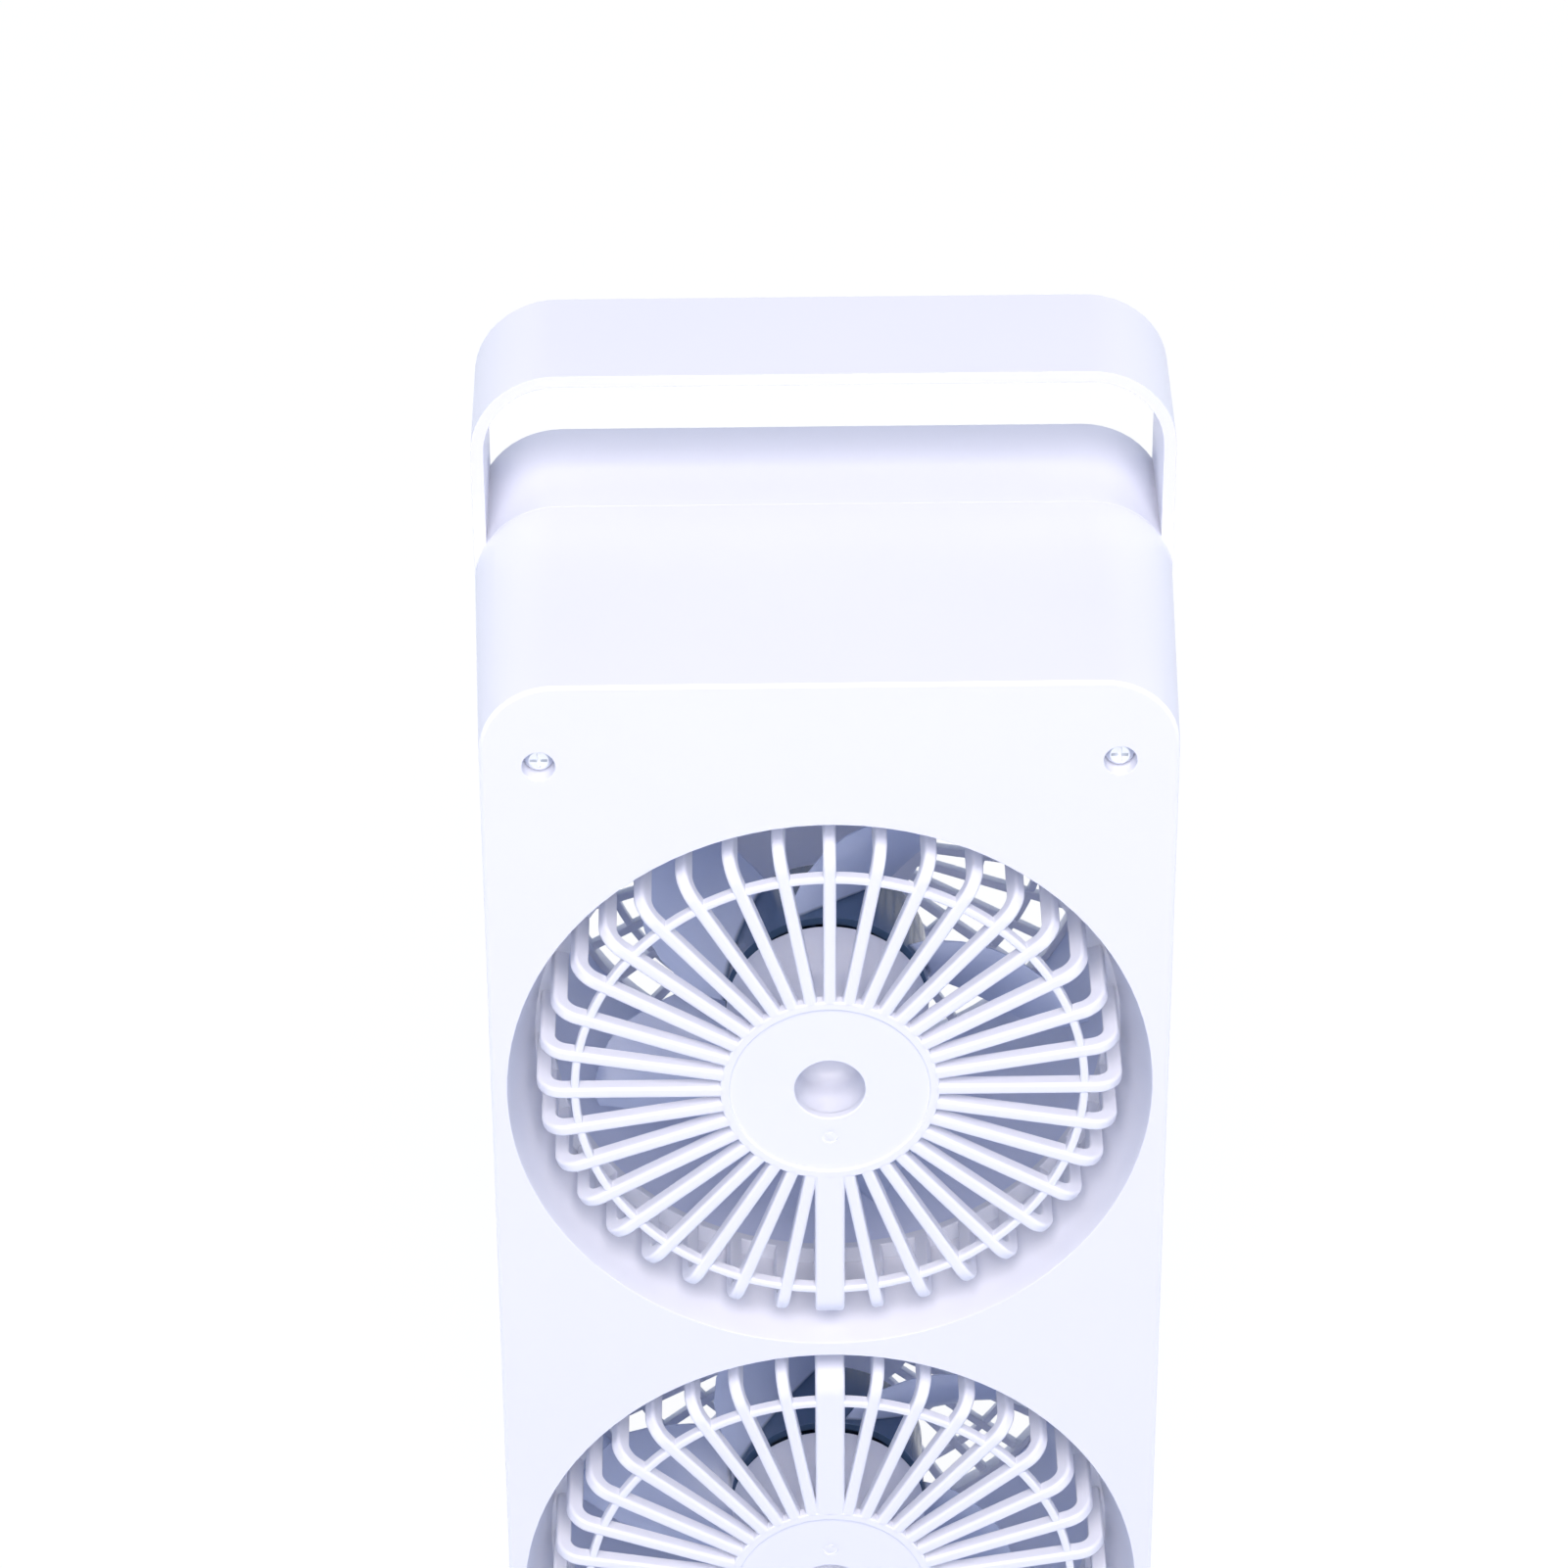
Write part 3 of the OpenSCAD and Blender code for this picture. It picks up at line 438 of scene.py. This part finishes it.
for head, middle in heads.items():
    lead_side = -1 if head == "upper" else 1

    hub = bmesh.new()
    turned(hub, rounded([
        (pocket_r, panel_depth, 0.35), (panel_r, panel_depth, 0.15), (panel_r, 0, 0.2),
        (disc_r, 0, 0.35), (disc_r, disc_back, 0.3), (cup_r, disc_back, 0), (cup_r, cup_back, 0.4),
        (cup_inner_r, cup_back, 0.3), (cup_inner_r, disc_back, 0), (pocket_r, disc_back, 0),
    ]))
    tools = bmesh.new()
    gate_mark = [(0.8, 0), (1.6, 0), (1.6, 0.8), (0.8, 0.8)]
    turned(tools, gate_mark, 48, lead_side * 11.2)
    notch = [(-channel, 1.5), (channel, 1.5), (channel, 4.7), (-channel, 4.7)]
    swept(tools, notch, [(Vector((r, 0)), ahead) for r in (16, 23)], lead_side * 90)
    cut_away(hub, tools)

    base = bmesh.new()
    turned(base, rounded([
        (base_inner_r, base_front, 0.3), (base_outer_r, base_front, 0.3),
        (base_outer_r, base_back, 0.3), (base_inner_r, base_back, 0.3),
    ]))
    tools = bmesh.new()
    notch = [(-channel, 18), (channel, 18), (channel, 22), (-channel, 22)]
    swept(tools, notch, [(Vector((r, 0)), ahead) for r in (51.8, 55)], lead_side * 90)
    cut_away(base, tools)

    grille = bmesh.new()
    for part in (hub, base):
        carrier = bpy.data.meshes.new("part")
        part.to_mesh(carrier)
        grille.from_mesh(carrier)
        bpy.data.meshes.remove(carrier)
        part.free()
    tie_ring = [(48.2, 0.3, 0.5), (49.8, 0.3, 0.5), (49.8, 2.7, 0.4), (48.2, 2.7, 0.4)]
    turned(grille, rounded(tie_ring))
    motor_seat = [(12.3, 14.7, 0), (13.8, 14.7, 0), (13.8, 26.7, 0.3), (12.3, 26.7, 0.3)]
    turned(grille, rounded(motor_seat))
    turned(grille, rounded([
        (pocket_r, 2.2, 0), (pocket_outer_r, 2.2, 0), (pocket_outer_r, pocket_back, 0),
        (near_axis, pocket_back, 0), (near_axis, pocket_depth, 0), (pocket_r, pocket_depth, 3),
    ]))
    for degrees in range(0, 360, 60):
        swept(grille, web_bar, web_path, degrees)
    for degrees in range(0, 360, 10):
        leads_run_here = degrees == lead_side * 90 % 360
        swept(grille, lead_rib_bar if leads_run_here else rib_bar, rib_path, degrees)
    set_in_place(
        head + "_intake_grille", grille, middle, grille_abs, "case",
        head + "_rear_grille",
    )


# ---- Outlet grilles and shrouds ----
# The outlet grille is a flat ABS moulding of spokes and rings, clamped by the shroud's flange in the
# front housing's opening. The shroud is the plain duct that the fan runs in.
# The duct's colour is painted shade: darker and bluer than the housings' white plastic, for the blue
# shade inside the fan's recess.
duct_abs_painted_shade = moulded_plastic("duct_abs_painted_shade", (0.68, 0.74, 0.94), (0.71, 0.765, 0.96), 0.48, 0.3)
spoke_front, outlet_face = 87, 89.3
opening_r, rim_r, flange_r, flange_front, flange_back = 54.3, 57.3, 59.5, 85.6, 87.2
spoke_bar = rounded([(-0.9, 0, 0.3), (0.9, 0, 0.3), (0.9, 2.3, 0.6), (-0.9, 2.3, 0.6)])
spoke_path = [(Vector((r, spoke_front)), ahead) for r in (20.8, 54.8)]
for head, middle in heads.items():
    grille = bmesh.new()
    turned(grille, rounded([
        (opening_r, flange_front, 0.2), (flange_r, flange_front, 0.3), (flange_r, flange_back, 0.2),
        (rim_r, flange_back, 0), (rim_r, outlet_face, 0.3), (opening_r, outlet_face, 0.5),
    ]))
    for r in (33.17, 45.23):
        turned(grille, rounded([
            (r - 0.8, 87.3, 0.3), (r + 0.8, 87.3, 0.3), (r + 0.8, 89, 0.4), (r - 0.8, 89, 0.4),
        ]))
    turned(grille, rounded([
        (near_axis, spoke_front, 0), (disc_r, spoke_front, 0.3),
        (disc_r, outlet_face, 0.6), (near_axis, outlet_face, 0),
    ]))
    for degrees in range(0, 360, 10):
        swept(grille, spoke_bar, spoke_path, degrees)
    set_in_place(
        head + "_outlet_grille", grille, middle, grille_abs, "case",
        head + "_front_grille",
    )
    softened(head + "_fan_shroud", 0.0003, duct_abs_painted_shade, "case")


# ---- Impellers ----
# Five blades round a cup-shaped hub, one moulding in a blue-grey resin pressed on the motor's
# shaft. The hub is coloured deep blue as painted shade, and the blades keep the resin's pale colour.
def resin_with_painted_hub_shade(name):
    """Glossy blue-grey resin, painted deep blue at the hub as painted shade and pale in the blades."""
    material, tree, shader = finish(name, IOR=1.52, Coat_Roughness=0.12)
    across = add_node(
        tree, "ShaderNodeVectorMath", {"operation": "MULTIPLY"}, {0: own_point(tree), 1: (1, 0, 1)}
    )
    radius = add_node(tree, "ShaderNodeVectorMath", {"operation": "LENGTH"}, {0: across}, 1)
    outside_hub_shade = add_node(
        tree, "ShaderNodeMapRange", {"interpolation_type": "SMOOTHSTEP"},
        {"Value": radius, "From Min": 0.0199, "From Max": 0.0212},
    )
    flow = grain(tree, 45, 3)
    # Painted shade: the hub's deep blue stands for the shade that falls on it; the blades' pale blue-grey
    # is the resin's own colour.
    hub = tint(tree, flow, (0.05, 0.095, 0.18), (0.07, 0.125, 0.24))
    blade_own_colour = tint(tree, flow, (0.50, 0.58, 0.80), (0.56, 0.64, 0.85))
    feed(
        shader,
        Base_Color=add_node(
            tree, "ShaderNodeMix", {"data_type": "RGBA"}, {0: outside_hub_shade, 6: hub, 7: blade_own_colour}, 2
        ),
        Roughness=outside_hub_shade * 0.14 + flow * 0.06 + 0.2,
        Coat_Weight=0.5 - outside_hub_shade * 0.35,
        Normal=relief(tree, grain(tree, 1800), 0.1),
    )
    return material


resin_and_hub_shade = resin_with_painted_hub_shade("impeller_resin_painted_hub_shade")
for head, middle in heads.items():
    softened(head + "_impeller", 0.0003, resin_and_hub_shade, head + "_fan", 35, middle)


# ---- Motors ----
# Small brushed motors: a can drawn from plated sheet, a nylon end cap with its two terminals, a
# sintered bush, a ground shaft and a stacked rotor core. Each sits in its grille's cup.
def stacked_core(name):
    """Thin varnished steel sheets, one on the other along the axis."""
    material, tree, shader = finish(name, Metallic=0.8)
    along = add_node(
        tree, "ShaderNodeVectorMath", {"operation": "MULTIPLY"}, {0: own_point(tree), 1: (0, 1, 0)}
    )
    sheets = add_node(
        tree, "ShaderNodeTexWave", {"bands_direction": "Y"},
        {"Vector": along, "Scale": 630.0, "Distortion": 0.0},
    )
    feed(
        shader,
        Base_Color=tint(tree, sheets, (0.10, 0.10, 0.11), (0.30, 0.30, 0.32)),
        Roughness=grain(tree, 300) * 0.2 + 0.35,
        Normal=relief(tree, sheets, 0.4, 0.00005),
    )
    return material


can_plate = bare_metal("can_plate", (0.62, 0.63, 0.65), (0.72, 0.73, 0.75), 0.3, (1, 0.08, 1))
cap_nylon = moulded_plastic("cap_nylon", (0.66, 0.62, 0.52), (0.72, 0.68, 0.58), 0.5, 0.35)
sintered = bare_metal("sintered_bronze", (0.62, 0.45, 0.22), (0.72, 0.54, 0.28), 0.45, (1, 1, 1), 0.5)
ground = bare_metal("ground_steel", (0.66, 0.66, 0.67), (0.76, 0.76, 0.77), 0.2, (0.2, 3, 0.2))
core = stacked_core("rotor_sheets")
for head, middle in heads.items():
    softened(head + "_motor_can", 0.0005, can_plate, "case", middle=middle)
    softened(head + "_motor_end_cap", 0.0002, cap_nylon, "case", middle=middle)
    softened(head + "_motor_bush", 0.0003, sintered, "case", middle=middle)
    softened(head + "_motor_shaft", 0.00015, ground, head + "_fan", middle=middle)
    softened(head + "_motor_rotor", 0.0002, core, head + "_fan", middle=middle)


# ---- Leads ----
# Stranded copper in an extruded vinyl sleeve, red and black, soldered at both ends: from each motor
# to the control board, and from the power board to the control board.
def vinyl(name, low, high):
    """Extruded sleeve: satin, with slow changes of shade along it."""
    material, tree, shader = finish(name, IOR=1.48)
    drift = grain(tree, 90)
    feed(
        shader,
        Base_Color=tint(tree, drift, low, high),
        Roughness=drift * 0.15 + 0.33,
        Normal=relief(tree, grain(tree, 1500), 0.2),
    )
    return material


red_vinyl = vinyl("red_vinyl", (0.42, 0.02, 0.02), (0.52, 0.035, 0.03))
black_vinyl = vinyl("black_vinyl", (0.018, 0.018, 0.02), (0.035, 0.035, 0.038))
for run in ("upper", "lower", "supply"):
    softened(run + "_red_lead", 0.0002, red_vinyl, "case", 45)
    softened(run + "_black_lead", 0.0002, black_vinyl, "case", 45)


# ---- Control board ----
# Glass laminate with a green mask behind the outlet face, held by two screws in posts of the front
# housing. Two push switches stand on it behind the buttons.
def laminate(name):
    """Green mask over glass cloth, whose weave just shows."""
    material, tree, shader = finish(name, IOR=1.55)
    cloth = []
    for direction in ("X", "Z"):
        cloth.append(add_node(
            tree, "ShaderNodeTexWave", {"bands_direction": direction},
            {"Vector": own_point(tree), "Scale": 420.0, "Distortion": 0.4},
        ))
    weave = cloth[0] * cloth[1]
    feed(
        shader,
        Base_Color=tint(tree, weave, (0.012, 0.13, 0.05), (0.03, 0.20, 0.08)),
        Roughness=weave * 0.1 + 0.28,
        Normal=relief(tree, weave, 0.2),
    )
    return material


green_laminate = laminate("green_laminate")
black_nylon = moulded_plastic("black_nylon", (0.02, 0.02, 0.022), (0.035, 0.035, 0.038), 0.42, 0.4)
softened("control_board", 0.00015, green_laminate, "case")
softened("board_screws", 0.00012, zinc, "case", 30)
softened("push_switches", 0.0002, black_nylon, "case")


# ---- Buttons and lens ----
# One glossy ABS button for each fan, sprung in the outlet face, and between them a clear acrylic
# light guide pressed in from inside.
def clear_acrylic(name):
    """Clear acrylic with the faint waviness of a moulded face."""
    material, tree, shader = finish(name, IOR=1.49, Transmission_Weight=1.0)
    ripple = grain(tree, 400)
    feed(
        shader,
        Base_Color=tint(tree, ripple, (0.93, 0.96, 0.97), (0.97, 0.98, 0.99)),
        Roughness=ripple * 0.06 + 0.03,
        Normal=relief(tree, ripple, 0.1),
    )
    return material


button_abs = moulded_plastic("button_abs", (0.74, 0.75, 0.77), (0.78, 0.79, 0.81), 0.3, 0.15)
for head in heads:
    softened(head + "_fan_button", 0.0003, button_abs, head + "_button")
softened("indicator_lens", 0.0003, clear_acrylic("clear_acrylic"), "case")


# ---- Power inlet ----
# A folded and plated steel socket with a moulded tongue, soldered to a small board that rests on two
# shelves low in the rear housing.
socket_plate = bare_metal("socket_plate", (0.64, 0.65, 0.67), (0.74, 0.75, 0.77), 0.26, (0.3, 1, 1))
softened("power_board", 0.00015, green_laminate, "case")
softened("power_socket", 0.0001, socket_plate, "case")
softened("socket_tongue", 0.0001, black_nylon, "case")


# ---- Feet ----
# Four moulded plugs of matt grey rubber, pressed into the base, with a mottled bloom on their
# pitted skin.
def rubber(name):
    """Matt rubber with a mottled bloom and an open, pitted skin."""
    material, tree, shader = finish(name, IOR=1.45)
    bloom = grain(tree, 180, 4)
    feed(
        shader,
        Base_Color=tint(tree, bloom, (0.19, 0.195, 0.205), (0.27, 0.275, 0.285)),
        Roughness=bloom * 0.12 + 0.76,
        Normal=relief(tree, grain(tree, 2200, 3), 0.4, 0.00005),
    )
    return material


softened("rubber_feet", 0.0003, rubber("grey_rubber"), "case")
